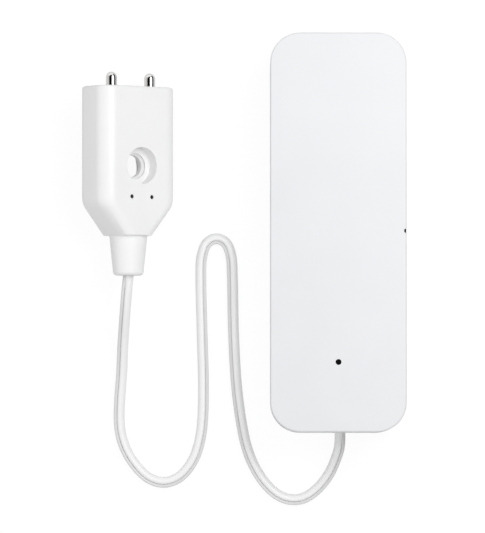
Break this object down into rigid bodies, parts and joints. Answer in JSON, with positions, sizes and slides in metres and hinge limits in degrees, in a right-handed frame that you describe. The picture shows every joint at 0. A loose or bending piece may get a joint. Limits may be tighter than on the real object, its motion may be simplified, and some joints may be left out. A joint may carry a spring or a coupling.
{
  "type": "water leak sensor",
  "caption": "Slim rounded battery unit with a sliding rear cover and a reset button, joined by a thin cord to a flat probe with metal contact pins and a screw hole.",
  "frame": {"origin": "middle of the main unit's back, on the surface it lies on or the wall it is fixed to", "axes": "+X to the main unit's right seen from its face, +Y along its length away from the cord's exit, +Z out of its face"},
  "size_m": [0.0716, 0.104, 0.0182],
  "materials": {
    "white_shell": "smooth satin moulding",
    "white_cover": "fine texture",
    "smoked_lens": "polished",
    "black_plastic": "satin",
    "grey_plastic": "satin",
    "clear_resin": "clear",
    "circuit_board": "solder mask",
    "radio_laminate": "solder mask",
    "plated_steel": "nickel plated",
    "component_resin": "moulded",
    "cell_jacket": "plain printed sleeve without text",
    "white_rubber": "soft satin",
    "connector_plastic": "satin",
    "wire_insulation": "smooth",
    "cable_jacket": "smooth, slightly glossy",
    "polished_pin": "polished nickel",
    "seal_rubber": "matt",
    "conductive_rubber": "matt"
  },
  "bodies": {
    "main_unit": {"front_housing": "white_shell", "led_window": "smoked_lens", "reset_switch": "grey_plastic", "status_led": "clear_resin", "main_board": "circuit_board", "radio_board": "radio_laminate", "radio_shield": "plated_steel", "board_components": "component_resin", "battery_holder": "grey_plastic", "battery_left": "cell_jacket", "battery_right": "cell_jacket", "bridge_contact": "plated_steel", "positive_contact": "plated_steel", "negative_contact": "plated_steel", "holder_screws": "plated_steel", "cable_grommet": "white_rubber", "cable_socket": "connector_plastic", "cable_plug": "connector_plastic", "lead_wires": "wire_insulation", "probe_cable": "cable_jacket", "probe_housing": "white_shell", "probe_rear_plate": "white_cover", "probe_boot": "white_rubber", "contact_pins": "polished_pin", "pin_seals": "seal_rubber", "contact_board": "circuit_board", "face_contacts": "conductive_rubber", "probe_wires": "wire_insulation"},
    "rear_cover": {"rear_cover": "white_cover"},
    "reset_button": {"reset_button": "black_plastic"}
  },
  "joints": [
    {"name": "cover_slide", "type": "slide", "parent": "main_unit", "child": "rear_cover", "axis": [0, -1, 0], "range_m": [0, 0.006]},
    {"name": "reset_press", "type": "slide", "parent": "main_unit", "child": "reset_button", "axis": [-1, 0, 0], "range_m": [0, 0.00035], "stiffness_N_per_m": 4000}
  ]
}
